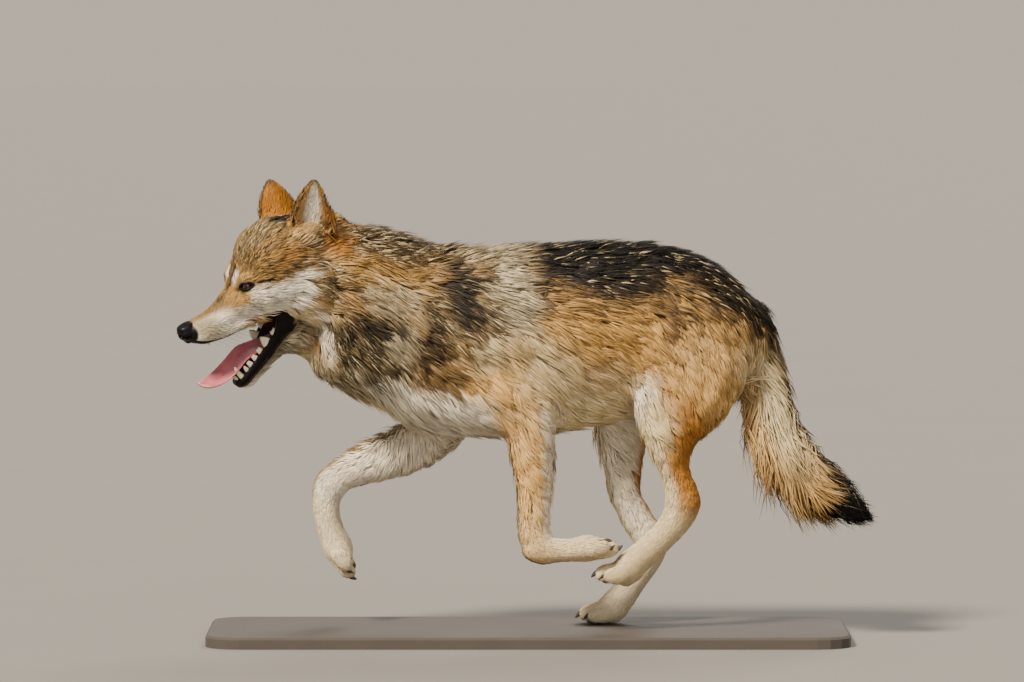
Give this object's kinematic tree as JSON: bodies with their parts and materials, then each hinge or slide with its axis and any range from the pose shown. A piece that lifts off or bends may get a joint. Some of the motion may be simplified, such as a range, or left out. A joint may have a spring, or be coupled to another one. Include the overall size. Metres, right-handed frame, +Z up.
{
  "type": "life-size running wolf figure",
  "caption": "Life-size gray wolf running with head low and mouth open, furred, standing on one hind foot on a plain flat base that steadies it.",
  "frame": {"origin": "centre of the underside of the base, which is the bottom centre of the whole figure's bounds", "axes": "+Z up; the wolf faces -Y and runs towards it, its left side is +X; +Y points to the tail and is the longest extent"},
  "size_m": [0.4, 1.1998, 0.7939],
  "materials": {
    "coat": "thick agouti fur",
    "tongue": "wet soft flesh",
    "nose": "damp pebbled skin",
    "eye": "wet clear surface",
    "claw": "dull horn",
    "base": "satin painted board"
  },
  "bodies": {
    "root": {"head": "coat", "lower_jaw": "coat", "ear_left": "coat", "ear_right": "coat", "neck": "coat", "chest": "coat", "loin": "coat", "tail": "coat", "foreleg_left_upper": "coat", "foreleg_left_lower": "coat", "foreleg_left_foot": "coat", "foreleg_right_upper": "coat", "foreleg_right_lower": "coat", "foreleg_right_foot": "coat", "hindleg_left_upper": "coat", "hindleg_left_lower": "coat", "hindleg_left_foot": "coat", "hindleg_right_upper": "coat", "hindleg_right_lower": "coat", "hindleg_right_foot": "coat", "tongue": "tongue", "nose_pad": "nose", "eye_left": "eye", "eye_right": "eye", "claw_forefoot_left_1": "claw", "claw_forefoot_left_2": "claw", "claw_forefoot_left_3": "claw", "claw_forefoot_left_4": "claw", "claw_forefoot_right_1": "claw", "claw_forefoot_right_2": "claw", "claw_forefoot_right_3": "claw", "claw_forefoot_right_4": "claw", "claw_hindfoot_left_1": "claw", "claw_hindfoot_left_2": "claw", "claw_hindfoot_left_3": "claw", "claw_hindfoot_left_4": "claw", "claw_hindfoot_right_1": "claw", "claw_hindfoot_right_2": "claw", "claw_hindfoot_right_3": "claw", "claw_hindfoot_right_4": "claw", "stand_base": "base"}
  },
  "joints": []
}
